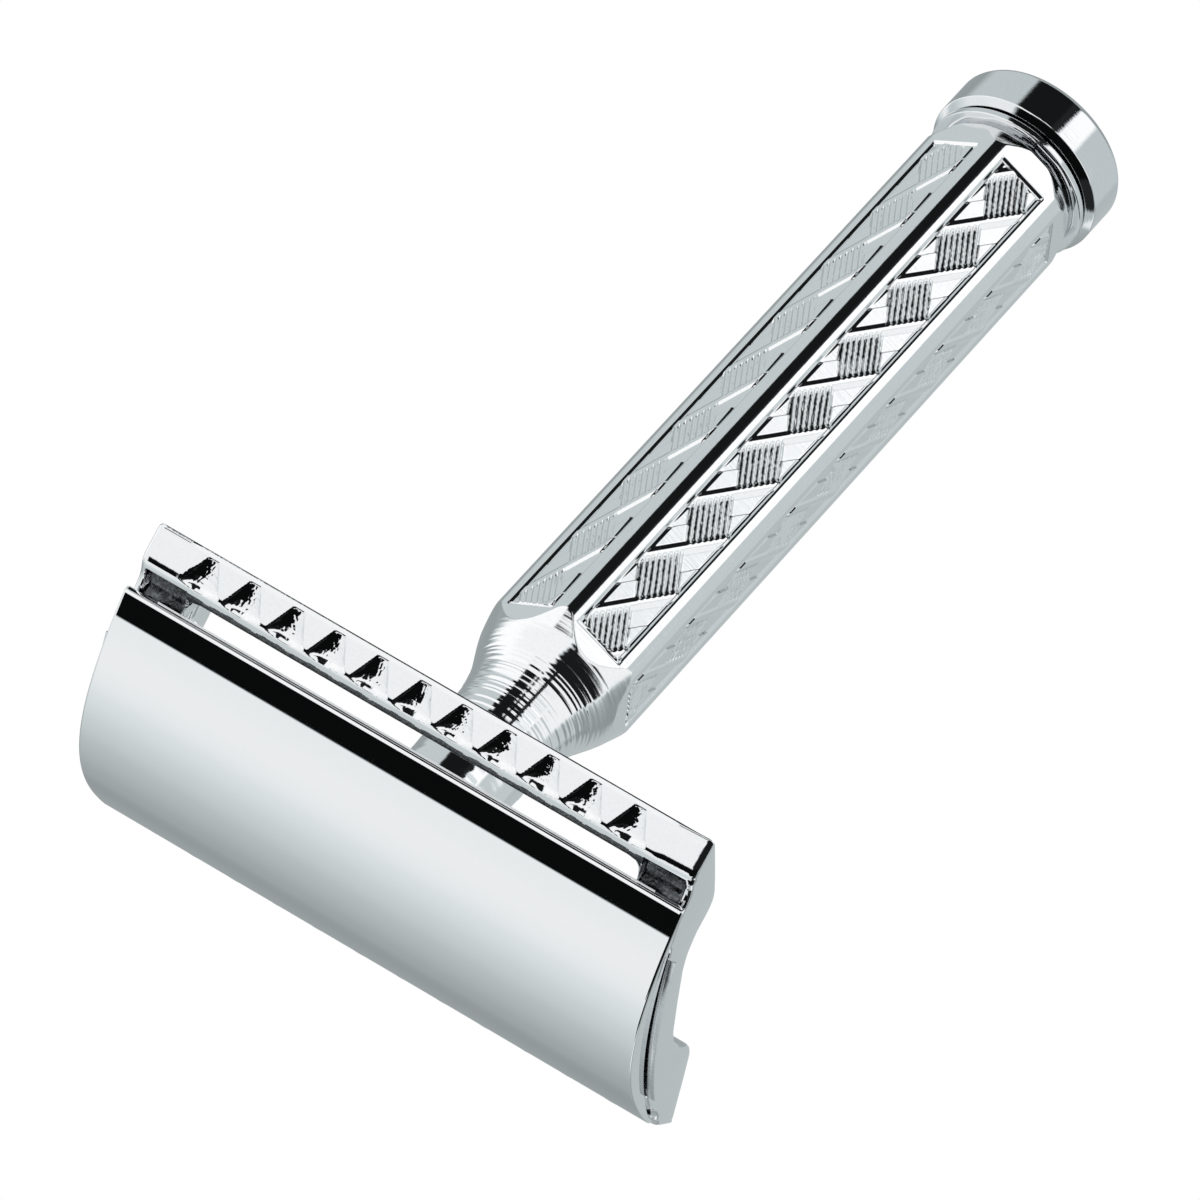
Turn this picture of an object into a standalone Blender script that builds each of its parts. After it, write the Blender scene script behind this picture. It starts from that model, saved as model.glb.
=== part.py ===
"""Two-piece double-edge safety razor, standing upright on its knob.

Frame: origin at the centre of the knob's bottom face, +Z up the handle to the
head, X along the head, Y across it. Lengths below are in millimetres and are
turned into metres as each mesh is made. Heights are counted from a datum that
lies FACE_Z under the knob's bottom face.

A "shape" is a (verts, faces) pair in millimetres. A turned profile is a list
of (radius, z) points.
"""
import math

import bmesh
import bpy
import numpy as np
from mathutils import Matrix, Vector

MM = 0.001

# ---- dimensions shared by several pieces ----------------------------------------
FACE_Z = 0.68            # knob's bottom face
HEAD_Z = 77.1            # cap's long edges
BED_SAG_RADIUS = 26.0    # the curve that the blade is clamped to
NECK_TOP = 74.7          # top of the handle
BORE_RADIUS = 2.9        # through the handle and the base plate's boss
PIN_X, PIN_RADIUS = 13.2, 1.0   # locating pins
SOCKET_LOW, SOCKET_TOP = 64.4, 75.0
SOCKET_PIN_Z = SOCKET_LOW + 1.8


# ---- shapes ----------------------------------------------------------------------
def loft(rings):
    """A closed body through rings of equal length."""
    count = len(rings[0])
    verts = [point for ring in rings for point in ring]
    faces = []
    for low in range(0, (len(rings) - 1) * count, count):
        high = low + count
        for i in range(count):
            k = (i + 1) % count
            faces.append((low + i, low + k, high + k, high + i))
    faces.append(tuple(range(count)))
    faces.append(tuple(range(len(verts) - count, len(verts))))
    return verts, faces


def circle(radius, z, segs, centre=(0, 0)):
    angles = [2 * math.pi * i / segs for i in range(segs)]
    return [(centre[0] + radius * math.cos(a), centre[1] + radius * math.sin(a), z)
            for a in angles]


def lathe(profile, segs, centre=(0, 0)):
    """A body turned about a vertical axis; the profile's end joins its start."""
    verts, faces, rings = [], [], []
    for radius, z in profile:
        start = len(verts)
        if radius < 1e-6:
            verts.append((*centre, z))
        else:
            verts += circle(radius, z, segs, centre)
        rings.append(range(start, len(verts)))
    for ring, following in zip(rings, rings[1:] + rings[:1]):
        if len(ring) == len(following) == 1:
            continue
        for i in range(segs):
            k = (i + 1) % segs
            if len(ring) == 1:
                faces.append((ring[0], following[i], following[k]))
            elif len(following) == 1:
                faces.append((ring[i], ring[k], following[0]))
            else:
                faces.append((ring[i], ring[k], following[k], following[i]))
    return verts, faces


def cylinder(radius, z0, z1, segs, centre=(0, 0)):
    return lathe([(0, z0), (radius, z0), (radius, z1), (0, z1)], segs, centre)


def washer(inner, outer, z0, z1, segs):
    return lathe([(inner, z0), (outer, z0), (outer, z1), (inner, z1)], segs)


def cross_pin(radius, half_length, z, segs):
    """A cylinder lying along X at height z."""
    verts, faces = cylinder(radius, -half_length, half_length, segs)
    return [(p[2], p[0], p[1] + z) for p in verts], faces


def raised(profile, base):
    """The profile's second coordinates counted from a base height."""
    return [(across, base + z) for across, z in profile]


def inset(outline, distance):
    """The outline moved inwards by a distance, corner by corner."""
    if distance == 0:
        return list(outline)
    following = outline[1:] + outline[:1]
    area = sum(a[0] * b[1] - b[0] * a[1] for a, b in zip(outline, following))
    side = 1 if area > 0 else -1
    moved = []
    for before, here, after in zip(outline[-1:] + outline[:-1], outline, following):
        edge_in = Vector((here[0] - before[0], here[1] - before[1])).normalized()
        edge_out = Vector((after[0] - here[0], after[1] - here[1])).normalized()
        normal_in = Vector((-edge_in.y, edge_in.x)) * side
        normal_out = Vector((-edge_out.y, edge_out.x)) * side
        mitre = (normal_in + normal_out).normalized()
        # the floor keeps sharp corners from shooting inwards
        reach = distance / max(0.6, mitre.dot(normal_in))
        moved.append((here[0] + mitre.x * reach, here[1] + mitre.y * reach))
    return moved


def prism_x(outline, stations):
    """A (y, z) outline drawn along X; each station is (x, inset)."""
    return loft([[(x, y, z) for y, z in inset(outline, distance)] for x, distance in stations])


def prism_z(outline, z0, z1):
    return loft([[(x, y, z) for x, y in outline] for z in (z0, z1)])


def box(x0, x1, y0, y1, z0, z1):
    return prism_z([(x0, y0), (x1, y0), (x1, y1), (x0, y1)], z0, z1)


def rounded_rectangle(x0, x1, y0, y1, radius, steps=5):
    corners = ((x1 - radius, y1 - radius, 0), (x0 + radius, y1 - radius, 90),
               (x0 + radius, y0 + radius, 180), (x1 - radius, y0 + radius, 270))
    points = []
    for x, y, start in corners:
        for step in range(steps + 1):
            angle = math.radians(start + 90 * step / steps)
            points.append((x + radius * math.cos(angle), y + radius * math.sin(angle)))
    return points


def joined(*shapes):
    all_verts, all_faces = [], []
    for verts, faces in shapes:
        base = len(all_verts)
        all_verts += verts
        all_faces += [tuple(base + i for i in face) for face in faces]
    return all_verts, all_faces


# ---- objects ---------------------------------------------------------------------
def add_object(name, shape):
    """A scene object from a shape, its normals facing out."""
    verts, faces = shape
    datum = Vector((0, 0, FACE_Z))
    mesh = bpy.data.meshes.new(name)
    mesh.from_pydata([(Vector(v) - datum) * MM for v in verts], [], faces)
    bm = bmesh.new()
    bm.from_mesh(mesh)
    bmesh.ops.remove_doubles(bm, verts=bm.verts, dist=1e-6)
    bmesh.ops.recalc_face_normals(bm, faces=bm.faces)
    if bm.calc_volume(signed=True) < 0:
        bmesh.ops.reverse_faces(bm, faces=bm.faces)
    bm.to_mesh(mesh)
    bm.free()
    obj = bpy.data.objects.new(name, mesh)
    bpy.context.scene.collection.objects.link(obj)
    return obj


def make(name, shape, mat):
    """A visible piece, smooth except at its sharp edges."""
    obj = add_object(name, shape)
    obj.data.materials.append(mat)
    obj.data.shade_smooth()
    obj.data.set_sharp_from_angle(angle=math.radians(32))
    return obj


def cut(obj, name, shape, operation="DIFFERENCE"):
    """A hidden helper that is cut from the object, or added to it with UNION."""
    helper = add_object(name, shape)
    helper.hide_render = True
    helper.display_type = "WIRE"
    mod = obj.modifiers.new(operation.lower(), "BOOLEAN")
    mod.operation = operation
    mod.object = helper
    mod.solver = "EXACT"


def metal(name, color, roughness):
    mat = bpy.data.materials.new(name)
    mat.use_nodes = True
    shader = mat.node_tree.nodes["Principled BSDF"]
    shader.inputs["Base Color"].default_value = (*color, 1.0)
    shader.inputs["Roughness"].default_value = roughness
    shader.inputs["Metallic"].default_value = 1.0
    mat.diffuse_color = (*color, 1.0)
    return mat


# ---- cap: a long arched shell of constant section ---------------------------------
CAP_HALF_LENGTH = 21.0
CAP_HALF_WIDTH = 10.65
CAP_CROWN = 3.8          # crown above the long edges
CAP_UNDER = 2.0          # underside above the long edges, on the centre line
CAP_END_BEVEL = 0.16
CAP_TOP_INSET = 0.28     # from the long edge to where the top's curve stops
CAP_UNDER_INSET = 0.22   # the same for the underside
CAP_MIN_WALL = 0.3
# (inset from the half width, height above HEAD_Z), from the top down
CAP_EDGE = [(0.06, 0.02), (0, -0.14), (0.08, -0.24)]
STUD_HOLE_RADIUS, STUD_HOLE_TOP = 1.75, HEAD_Z + 3.1
PIN_HOLE_CLEARANCE, PIN_HOLE_TOP = 0.12, HEAD_Z + 3.0


def cap_top(y):
    s = (y / CAP_HALF_WIDTH) ** 2
    return CAP_CROWN * (1 - 1.12 * s + 0.12 * s * s)


def cap_under(y):
    return min(CAP_UNDER - y * y / (2 * BED_SAG_RADIUS), cap_top(y) - CAP_MIN_WALL)


def cap_outline():
    top_edge = CAP_HALF_WIDTH - CAP_TOP_INSET
    under_edge = CAP_HALF_WIDTH - CAP_UNDER_INSET
    top_ys = [-top_edge + 2 * top_edge * i / 28 for i in range(29)]
    under_ys = [under_edge - 2 * under_edge * i / 20 for i in range(21)]
    edge = [(CAP_HALF_WIDTH - distance, z) for distance, z in CAP_EDGE]
    return raised(
        [(y, cap_top(y) - 0.05) for y in top_ys] + edge
        + [(y, cap_under(y)) for y in under_ys] + [(-y, z) for y, z in reversed(edge)],
        HEAD_Z)


def build_cap():
    end = CAP_HALF_LENGTH
    flush = end - CAP_END_BEVEL
    stations = [(-end, CAP_END_BEVEL), (-flush, 0), (flush, 0), (end, CAP_END_BEVEL)]
    cap = make("cap_plate", prism_x(cap_outline(), stations), CHROME)
    below = HEAD_Z - 2
    cut(cap, "cut_cap_holes", joined(
        cylinder(STUD_HOLE_RADIUS, below, STUD_HOLE_TOP, 20),
        *[cylinder(PIN_RADIUS + PIN_HOLE_CLEARANCE, below, PIN_HOLE_TOP, 14, (x, 0))
          for x in (-PIN_X, PIN_X)]))


# ---- threaded stud and locating pins, set into the cap's underside ----------------
STUD_RADIUS = 2.0
STUD_SHANK_RADIUS = 1.6
STUD_TIP = 69.4
THREAD_TOP = HEAD_Z - 1.0
THREAD_PITCH, THREAD_DEPTH = 0.7, 0.36
THREAD_FADE = 0.5        # height over which the thread grows to full depth
STUD_SEGS, RINGS_PER_TURN = 14, 4


def thread_ring(z):
    fade = max(0.0, min(1.0, (THREAD_TOP - z) / THREAD_FADE, (z - STUD_TIP - 0.3) / THREAD_FADE))
    ring = []
    for i in range(STUD_SEGS):
        angle = 2 * math.pi * i / STUD_SEGS
        phase = (z / THREAD_PITCH - angle / (2 * math.pi)) % 1.0
        ridge = 1 - abs(2 * phase - 1)
        radius = STUD_RADIUS - THREAD_DEPTH * (1 - ridge * fade)
        ring.append((radius * math.cos(angle), radius * math.sin(angle), z))
    return ring


def build_stud():
    root = STUD_RADIUS - THREAD_DEPTH
    count = int((THREAD_TOP - STUD_TIP - 0.5) / THREAD_PITCH * RINGS_PER_TURN)
    rings = [circle(STUD_SHANK_RADIUS, HEAD_Z + 2.95, STUD_SEGS),
             circle(STUD_SHANK_RADIUS, HEAD_Z + 1.75, STUD_SEGS),
             circle(root, HEAD_Z + 1.7, STUD_SEGS)]
    rings += [thread_ring(THREAD_TOP - j * THREAD_PITCH / RINGS_PER_TURN)
              for j in range(count + 1)]
    rings.append(circle(root - 0.15, STUD_TIP, STUD_SEGS))
    make("cap_stud", loft(rings), STEEL)


def build_locating_pins():
    profile = raised([(0, 2.85), (PIN_RADIUS, 2.85), (PIN_RADIUS, -0.4),
                      (PIN_RADIUS - 0.35, -0.75), (0, -0.75)], HEAD_Z)
    for side, x in (("left", -PIN_X), ("right", PIN_X)):
        make(f"locating_pin_{side}", lathe(profile, 14, (x, 0)), CHROME)


# ---- blade: a thin sheet bent to the bed, with its long locating slot --------------
BLADE_MID = 1.65         # mid surface above the cap's edges
BLADE_WIDTH = 22.0       # flat width
BLADE_LENGTH = 43.0
BLADE_THICK = 0.1
BLADE_BEND_RADIUS = BED_SAG_RADIUS + 2.0
BEVEL_WIDTH, BEVEL_EDGE = 0.9, 0.25   # bevel's width scale; its edge's share of the thickness
BLADE_SLOT_HALF_WIDTH = 1.0
BLADE_SLOT_MIN = 0.02    # half width left at the slot's tips
# round openings along the slot: (centre x, radius, degrees between points)
BLADE_HOLES = [(-PIN_X, 1.35, 20), (0, 2.7, 12), (PIN_X, 1.35, 20)]
NOTCH_X, NOTCH_Y = 18.7, 6.9   # inner sides of the corner notches


def blade_section():
    bend = BLADE_BEND_RADIUS
    half_angle = BLADE_WIDTH / 2 / bend
    top, low = [], []
    for i in range(25):
        angle = -half_angle + 2 * half_angle * i / 24
        bevel = min(1.0, BEVEL_EDGE + (half_angle - abs(angle)) * bend / BEVEL_WIDTH)
        offset = BLADE_THICK / 2 * bevel
        for side, radius in ((top, bend + offset), (low, bend - offset)):
            z = HEAD_Z + BLADE_MID + radius * math.cos(angle) - bend
            side.append((radius * math.sin(angle), z))
    return top + low[::-1]


def blade_slot_half_width(x):
    widths = [BLADE_SLOT_MIN]
    if abs(x) <= PIN_X:
        widths.append(BLADE_SLOT_HALF_WIDTH)
    widths += [math.sqrt(radius * radius - (x - centre) ** 2)
               for centre, radius, _ in BLADE_HOLES if abs(x - centre) < radius]
    return max(widths)


def blade_slot():
    xs = sorted({centre + radius * math.cos(math.radians(degrees))
                 for centre, radius, step in BLADE_HOLES for degrees in range(0, 181, step)})
    upper = [(x, blade_slot_half_width(x)) for x in xs]
    return upper + [(x, -y) for x, y in reversed(upper)]


def build_blade():
    end = BLADE_LENGTH / 2
    blade = make("blade", prism_x(blade_section(), [(-end, 0), (end, 0)]), BLADE_STEEL)
    notches = [box(sx * NOTCH_X, sx * 23, sy * NOTCH_Y, sy * 12, HEAD_Z - 4, HEAD_Z + 4)
               for sx in (-1, 1) for sy in (-1, 1)]
    cut(blade, "cut_blade", joined(prism_z(blade_slot(), HEAD_Z - 3, HEAD_Z + 4), *notches))


# ---- base plate: bed, safety bars, lather slots, boss ------------------------------
BED_TOP = 1.3            # bed above the cap's edges, on the centre line
BASE_HALF_LENGTH = 20.8
BASE_HALF_WIDTH = 14.3
SLOT_HALF_LENGTH = 17.1
SLOT_IN, SLOT_OUT = 8.6, 11.35
SLOT_CORNER = 1.1
POCKET_GAP = 0.004       # keeps the pocket's sides off the slots' sides
LEG_BOTTOM = -4.6        # bar's lowest point below the cap's edges
WEB_BOTTOM = -1.9        # underside of the centre plate
# (distance in from the end, inset of the outline)
BASE_END = [(0, 0.5), (0.15, 0.22), (0.5, 0)]
BED_YS = (0.0, 1.5, 3.0, 4.5, 6.0, 7.2, 8.4, 9.4, 10.2)
# (y, z above HEAD_Z) from the bed's edge round the bar to the web
BAR_OUTLINE = [
    (10.75, -1.06), (11.35, -1.22), (12.45, -1.32), (12.75, -1.47), (12.98, -1.72),
    (14.02, -2.95), (14.24, -3.18), (BASE_HALF_WIDTH, -3.38), (BASE_HALF_WIDTH, -3.62),
    (13.95, -3.86), (13.45, -4.08), (11.2, -4.33), (8.3, LEG_BOTTOM), (7.45, -4.56),
    (7.02, -4.32), (6.0, -3.2), (3.9, WEB_BOTTOM - 0.15), (3.2, WEB_BOTTOM),
]
FLUTES, FLUTE_PITCH = 11, 3.2
FLUTE_FOOT_Y, FLUTE_FOOT_Z = 14.75, HEAD_Z - 3.72
FLUTE_SQUASH = 0.80      # the groove's width along X against its depth
FLUTE_STATIONS = ((0.0, 0.06), (4.2, 1.95))   # (distance from the foot, radius)
BOSS_RADIUS = 4.7
NECK_POCKET_RADIUS, NECK_POCKET_TOP = 3.85, NECK_TOP + 0.3
BASE_PIN_CLEARANCE = 0.35


def base_outline():
    bed = [(y, BED_TOP - y * y / (2 * BED_SAG_RADIUS)) for y in BED_YS]
    right = raised(bed + BAR_OUTLINE, HEAD_Z)
    return right + [(-y, z) for y, z in reversed(right) if y > 0]


def flute(x, side):
    """A tapering groove: nearly nothing at the bar's foot, widest at its crest."""
    foot = Vector((x, side * FLUTE_FOOT_Y, FLUTE_FOOT_Z))
    axis = Vector((0, -side * 0.56, 0.83)).normalized()
    across = Vector((1, 0, 0))
    out = axis.cross(across)
    angles = [2 * math.pi * i / 14 for i in range(14)]
    return loft([
        [tuple(foot + axis * distance
               + (across * math.cos(a) * FLUTE_SQUASH + out * math.sin(a)) * radius)
         for a in angles] for distance, radius in FLUTE_STATIONS])


def cut_base_openings(base):
    slot = rounded_rectangle(-SLOT_HALF_LENGTH, SLOT_HALF_LENGTH, SLOT_IN, SLOT_OUT, SLOT_CORNER)
    cut(base, "cut_slots", joined(*[
        prism_z([(x, side * y) for x, y in slot], HEAD_Z - 6, HEAD_Z + 2) for side in (-1, 1)]))
    pocket_half_width = SLOT_OUT - POCKET_GAP
    pocket = rounded_rectangle(-SLOT_HALF_LENGTH, SLOT_HALF_LENGTH,
                               -pocket_half_width, pocket_half_width, SLOT_CORNER - POCKET_GAP)
    # the pocket stops just short of the web's underside
    cut(base, "cut_pocket", prism_z(pocket, HEAD_Z - 7, HEAD_Z + WEB_BOTTOM - 0.002))


def cut_base_flutes(base):
    # neighbouring flutes overlap, so every other one goes in a separate cut
    for label, first in (("a", 1), ("b", 0)):
        cut(base, f"cut_flutes_{label}", joined(*[
            flute((i - (FLUTES - 1) / 2) * FLUTE_PITCH, side)
            for i in range(first, FLUTES, 2) for side in (-1, 1)]))


def add_base_boss(base):
    boss = raised([(0, 0.4), (BOSS_RADIUS, 0.4), (BOSS_RADIUS, -3.6),
                   (BOSS_RADIUS - 0.25, -3.85), (0, -3.85)], HEAD_Z)
    cut(base, "add_boss", lathe(boss, 32), "UNION")
    above, below = HEAD_Z + 3, HEAD_Z - 6
    bore = lathe([(0, above), (BORE_RADIUS, above), (BORE_RADIUS, NECK_POCKET_TOP),
                  (NECK_POCKET_RADIUS, NECK_POCKET_TOP), (NECK_POCKET_RADIUS, below),
                  (0, below)], 32)
    cut(base, "cut_boss", joined(bore, *[
        cylinder(PIN_RADIUS + BASE_PIN_CLEARANCE, above, below, 14, (x, 0))
        for x in (-PIN_X, PIN_X)]))


def build_base():
    stations = [(-BASE_HALF_LENGTH + x, distance) for x, distance in BASE_END]
    stations += [(-x, distance) for x, distance in reversed(stations)]
    base = make("base_plate", prism_x(base_outline(), stations), CHROME_CAST)
    cut_base_openings(base)
    cut_base_flutes(base)
    add_base_boss(base)


# ---- handle: a hexagon turned down to a round neck, bored through ------------------
HEX_HALF = 5.23          # half the width across flats
HEX_ROUND = 1.75         # radius along the six long edges
HEX_TURN = math.radians(-28.5)
HEX_LOW = 5.45           # bottom of the hexagon
FLAT_ANGLES = [HEX_TURN - math.pi / 2 + k * math.pi / 3 for k in range(6)]
# (z, radius) of the lathe cut that limits the hexagon
TURNED = [
    (HEX_LOW, 5.22), (6.9, 5.76), (7.4, 6.0), (56.6, 6.0), (57.4, 5.82), (58.0, 5.66),
    (58.6, 5.46), (59.2, 5.27), (59.8, 5.04), (60.4, 4.77), (61.0, 4.48), (61.6, 4.25),
    (62.4, 4.02), (63.2, 3.85), (64.6, 3.70), (66.0, 3.62), (69.2, 3.56), (NECK_TOP, 3.55),
]
HANDLE_LEVELS = [        # heights of the handle's rings
    HEX_LOW, 5.9, 6.4, 6.9, 7.4, 30.0, 56.6, 57.4, 57.7, 58.0, 58.3, 58.6, 58.9, 59.2,
    59.5, 59.8, 60.1, 60.4, 61.0, 61.6, 62.4, 63.2, 64.6, 66.0, 69.2, NECK_TOP,
]
PANEL_WIDTH, PANEL_LOW, PANEL_HIGH, PANEL_DEPTH = 3.8, 7.7, 57.8, 0.2
PANEL_MIN_HEIGHT = 0.5   # shorter fields are left out
RIB_PITCH, RIB_WIDTH = 5.87, 0.42
RIB_TOP = 53.73          # a raised diagonal rib's height on the flat's centre line
RIB_RISE = 1.654         # how far a rib climbs for each millimetre across


def hex_points():
    points = []
    corner_reach = (HEX_HALF - HEX_ROUND) / math.cos(math.pi / 6)
    for flat in FLAT_ANGLES:
        corner = flat + math.pi / 6
        normal = Vector((math.cos(flat), math.sin(flat)))
        along = Vector((-math.sin(flat), math.cos(flat)))
        centre = Vector((math.cos(corner), math.sin(corner))) * corner_reach
        for u in (-1.0, 0.0, 1.0):
            points.append(normal * HEX_HALF + along * (u * PANEL_WIDTH / 2))
        for step in range(5):
            angle = corner - math.pi / 6 + (step + 0.5) / 5 * math.pi / 3
            points.append(centre + Vector((math.cos(angle), math.sin(angle))) * HEX_ROUND)
    return points


def handle_ring(outline, z):
    limit = float(np.interp(z, *zip(*TURNED)))
    ring = []
    for point in outline:
        radius = min(point.length, limit)
        ring.append((point.x / point.length * radius, point.y / point.length * radius, z))
    return ring


def clipped(polygon, low, high):
    """A (u, z) polygon kept between two heights."""
    for sign, limit in ((1, low), (-1, -high)):
        kept = []
        for start, end in zip(polygon, polygon[1:] + polygon[:1]):
            depth0, depth1 = sign * start[1] - limit, sign * end[1] - limit
            if depth0 >= 0:
                kept.append(start)
            if depth0 * depth1 < 0:
                t = depth0 / (depth0 - depth1)
                kept.append((start[0] + (end[0] - start[0]) * t,
                             start[1] + (end[1] - start[1]) * t))
        polygon = kept
    return polygon


def panel_fields():
    """The leaning parallelograms between one rib and the next, down one flat."""
    half = PANEL_WIDTH / 2 - 0.05
    rise = 2 * half * RIB_RISE
    rib = RIB_WIDTH / 2 * math.hypot(1, RIB_RISE)   # half a rib's height along Z
    fields = []
    for row in range(-1, 10):
        z = RIB_TOP + rise / 2 - row * RIB_PITCH
        field = clipped([(half, z - rib), (-half, z - rise - rib),
                         (-half, z - rise - RIB_PITCH + rib), (half, z - RIB_PITCH + rib)],
                        PANEL_LOW, PANEL_HIGH)
        heights = [q for _, q in field]
        if len(field) >= 3 and max(heights) - min(heights) >= PANEL_MIN_HEIGHT:
            fields.append(field)
    return fields


def build_handle():
    outline = hex_points()
    rings = [handle_ring(outline, z) for z in HANDLE_LEVELS]
    handle = make("handle_grip", loft(rings), CHROME_TURNED)
    cut(handle, "cut_bore", cylinder(BORE_RADIUS, 80, 0, 32))
    panels = []
    for flat in FLAT_ANGLES:
        turn = Matrix.Rotation(flat, 4, "Z")
        for field in panel_fields():
            verts, faces = loft([[(x, u, z) for u, z in field]
                                 for x in (HEX_HALF - PANEL_DEPTH, HEX_HALF + 1.0)])
            panels.append(([tuple(turn @ Vector(v)) for v in verts], faces))
    cut(handle, "cut_panels", joined(*panels))


# ---- clamping gear inside the handle -----------------------------------------------
ROD_RADIUS = 1.25
ROD_TOP = SOCKET_LOW + 3.4
CLIP_GROOVE_LOW, CLIP_GROOVE_TOP, CLIP_GROOVE_RADIUS = 20.3, 21.1, 0.85
SOCKET_BORE = 2.12       # radius of the socket's wide upper bore
BUSHING_BORE = 1.45      # radius
FLANGE_RADIUS = 5.9
SPRING_WIRE, SPRING_RADIUS, SPRING_TURNS = 0.32, 2.1, 6.0
SPRING_LOW, SPRING_TOP = 12.62, 18.9
SPRING_SEGS, SPRING_RIM = 12, 6   # rings per turn, points round the wire


def build_socket():
    step = SOCKET_LOW + 3.6
    socket = make("threaded_socket", lathe([
        (1.42, SOCKET_LOW), (2.4, SOCKET_LOW), (2.6, SOCKET_LOW + 0.2), (2.6, SOCKET_TOP - 0.2),
        (2.45, SOCKET_TOP), (2.3, SOCKET_TOP), (SOCKET_BORE, SOCKET_TOP - 0.3),
        (SOCKET_BORE, step), (1.42, step)], 28), BRASS)
    cut(socket, "cut_socket_pin", cross_pin(0.62, 6, SOCKET_PIN_Z, 14))
    make("socket_pin", cross_pin(0.4, 2.35, SOCKET_PIN_Z, 12), STEEL)


def build_rod():
    rod = make("draw_rod", lathe([
        (0, 2.9), (0.95, 2.9), (ROD_RADIUS, 3.2), (ROD_RADIUS, CLIP_GROOVE_LOW),
        (CLIP_GROOVE_RADIUS, CLIP_GROOVE_LOW), (CLIP_GROOVE_RADIUS, CLIP_GROOVE_TOP),
        (ROD_RADIUS, CLIP_GROOVE_TOP), (ROD_RADIUS, SOCKET_LOW + 3.2),
        (1.0, ROD_TOP), (0, ROD_TOP)], 18), STEEL)
    cut(rod, "cut_rod_pin", cross_pin(0.55, 6, SOCKET_PIN_Z, 14))
    cut(rod, "cut_rod_tap", lathe([(0, 1.0), (0.78, 1.0), (0.78, 7.0), (0, 7.4)], 14))


def build_bushings():
    make("upper_bushing", lathe([
        (BUSHING_BORE, 60.2), (2.6, 60.2), (2.75, 60.4), (2.75, 63.6), (2.6, 63.8),
        (BUSHING_BORE, 63.8)], 28), BRASS)
    make("lower_bushing", lathe([
        (BUSHING_BORE, 4.65), (5.8, 4.65), (FLANGE_RADIUS, 4.8), (FLANGE_RADIUS, 5.0),
        (5.8, 5.15), (2.65, 5.15), (2.65, 11.8), (2.5, 12.0), (BUSHING_BORE, 12.0)], 36), CHROME)


def build_spring():
    up = Vector((0, 0, 1))
    rim = [2 * math.pi * s / SPRING_RIM for s in range(SPRING_RIM)]
    count = int(SPRING_TURNS * SPRING_SEGS)
    rings = []
    for i in range(count + 1):
        t = i / count
        angle = 2 * math.pi * SPRING_TURNS * t
        centre = Vector((SPRING_RADIUS * math.cos(angle), SPRING_RADIUS * math.sin(angle),
                         SPRING_LOW + (SPRING_TOP - SPRING_LOW) * t))
        out = Vector((math.cos(angle), math.sin(angle), 0))
        rings.append([tuple(centre + (out * math.cos(b) + up * math.sin(b)) * SPRING_WIRE)
                      for b in rim])
    make("tension_spring", loft(rings), STEEL)


def build_washer_and_clip():
    make("spring_washer", washer(1.5, 2.6, 19.5, 20.0, 24), STEEL)
    clip = make("retaining_clip", washer(1.1, 2.3, 20.45, 20.95, 24), STEEL)
    cut(clip, "cut_clip", box(0.0, 4.0, -0.75, 0.75, 19, 22))


# ---- knob --------------------------------------------------------------------------
KNOB_RADIUS = 6.34
KNOB_TOP = 4.35
KNOB_BORE = 1.42         # radius
RECESS_RADIUS, RECESS_FLOOR = 4.2, KNOB_TOP - 0.9   # recess in the top
COUNTERBORE_TOP = FACE_Z + 1.25
SCREW_HEAD_RADIUS, SCREW_HEAD_TOP = 1.8, FACE_Z + 0.95
SCREW_SHANK_RADIUS = 0.6


def build_knob():
    make("knob", lathe([
        (KNOB_BORE, RECESS_FLOOR), (RECESS_RADIUS, RECESS_FLOOR), (RECESS_RADIUS, KNOB_TOP),
        (5.86, KNOB_TOP), (KNOB_RADIUS - 0.09, 4.06), (KNOB_RADIUS, 3.85),
        (KNOB_RADIUS, FACE_Z + 1.0), (KNOB_RADIUS - 0.08, FACE_Z + 0.55),
        (KNOB_RADIUS - 0.32, FACE_Z + 0.2), (KNOB_RADIUS - 0.72, FACE_Z), (2.2, FACE_Z),
        (2.15, COUNTERBORE_TOP), (KNOB_BORE, COUNTERBORE_TOP)], 48), CHROME)
    make("friction_washer", washer(1.75, 3.85, 3.78, 4.33, 28), STEEL)


def build_knob_screw():
    screw = make("knob_screw", lathe([
        (0, FACE_Z + 0.15), (SCREW_HEAD_RADIUS - 0.15, FACE_Z + 0.15),
        (SCREW_HEAD_RADIUS, FACE_Z + 0.3), (SCREW_HEAD_RADIUS, SCREW_HEAD_TOP),
        (SCREW_SHANK_RADIUS, SCREW_HEAD_TOP), (SCREW_SHANK_RADIUS, 6.2), (0.3, 6.5),
        (0, 6.5)], 20), STEEL)
    cut(screw, "cut_screw_slot", box(-3, 3, -0.22, 0.22, -1, FACE_Z + 0.5))


# ---- moving groups hang from empties on their joints' axes --------------------------
GROUPS = {               # empty's name: (its height above the origin, its pieces)
    "cap_group": (HEAD_Z - FACE_Z, [
        "cap_plate", "cap_stud", "locating_pin_left", "locating_pin_right"]),
    "blade_group": (HEAD_Z - FACE_Z, ["blade"]),
    "knob_group": (0, [
        "knob", "knob_screw", "draw_rod", "threaded_socket", "socket_pin",
        "retaining_clip", "friction_washer"]),
}


def group_pieces():
    for label, (height, names) in GROUPS.items():
        place = Vector((0, 0, height)) * MM
        pivot = bpy.data.objects.new(label, None)
        pivot.location = place
        bpy.context.scene.collection.objects.link(pivot)
        for name in names:
            child = bpy.data.objects[name]
            child.parent = pivot
            child.matrix_parent_inverse = Matrix.Translation(place).inverted()


for old in list(bpy.data.objects):
    bpy.data.objects.remove(old, do_unlink=True)

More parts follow.
